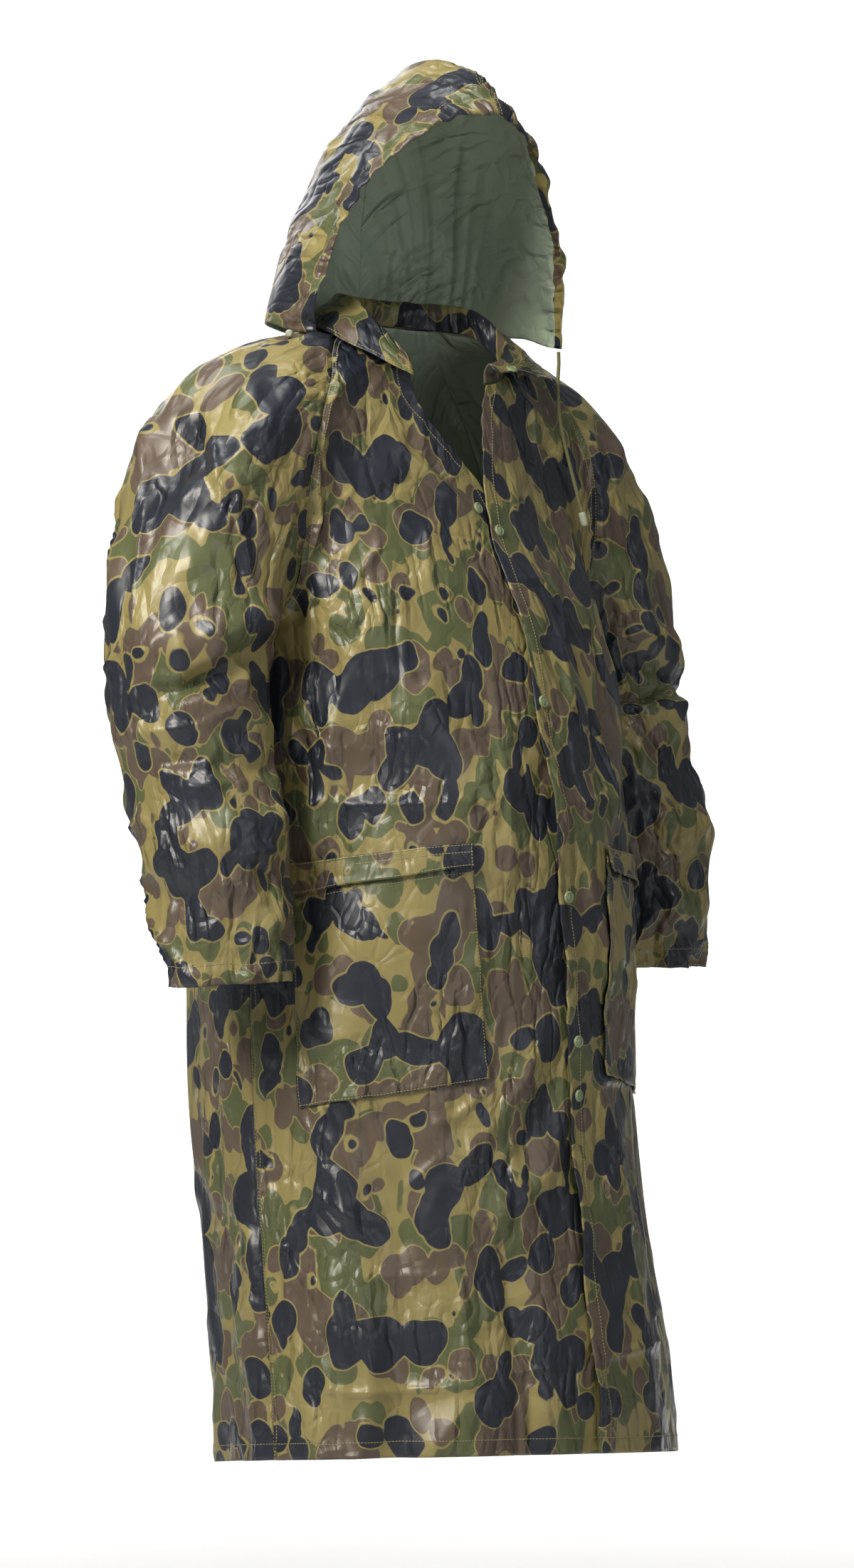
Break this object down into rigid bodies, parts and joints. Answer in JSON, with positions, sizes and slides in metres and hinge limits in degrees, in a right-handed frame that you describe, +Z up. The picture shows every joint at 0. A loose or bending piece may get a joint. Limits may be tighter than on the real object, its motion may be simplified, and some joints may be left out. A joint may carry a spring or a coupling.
{
  "type": "hooded raincoat",
  "caption": "Long hooded raincoat in worn form, open neck, raglan sleeves, two patch pockets and a snap front.",
  "frame": {"origin": "middle of the neckline, where the wearer's shoulders carry the coat", "axes": "+Z up along the wearer, the coat's front faces -Y, the wearer's left side is +X"},
  "size_m": [0.838, 0.5113, 1.5625],
  "materials": {
    "coated_cloth": "glossy coated camouflage",
    "snap_cap": "satin pale green",
    "cord": "braided khaki",
    "cord_end": "moulded pale green"
  },
  "bodies": {
    "root": {"front_right": "coated_cloth", "front_left": "coated_cloth", "back": "coated_cloth", "sleeve_right": "coated_cloth", "sleeve_left": "coated_cloth", "hood_right": "coated_cloth", "hood_left": "coated_cloth", "collar": "coated_cloth", "pocket_right": "coated_cloth", "pocket_flap_right": "coated_cloth", "pocket_left": "coated_cloth", "pocket_flap_left": "coated_cloth", "snap_1": "snap_cap", "snap_2": "snap_cap", "snap_3": "snap_cap", "snap_4": "snap_cap", "snap_5": "snap_cap", "snap_collar": "snap_cap", "snap_stud": "snap_cap", "cord_right": "cord", "cord_left": "cord", "cord_end_right": "cord_end", "cord_end_left": "cord_end"}
  },
  "joints": []
}
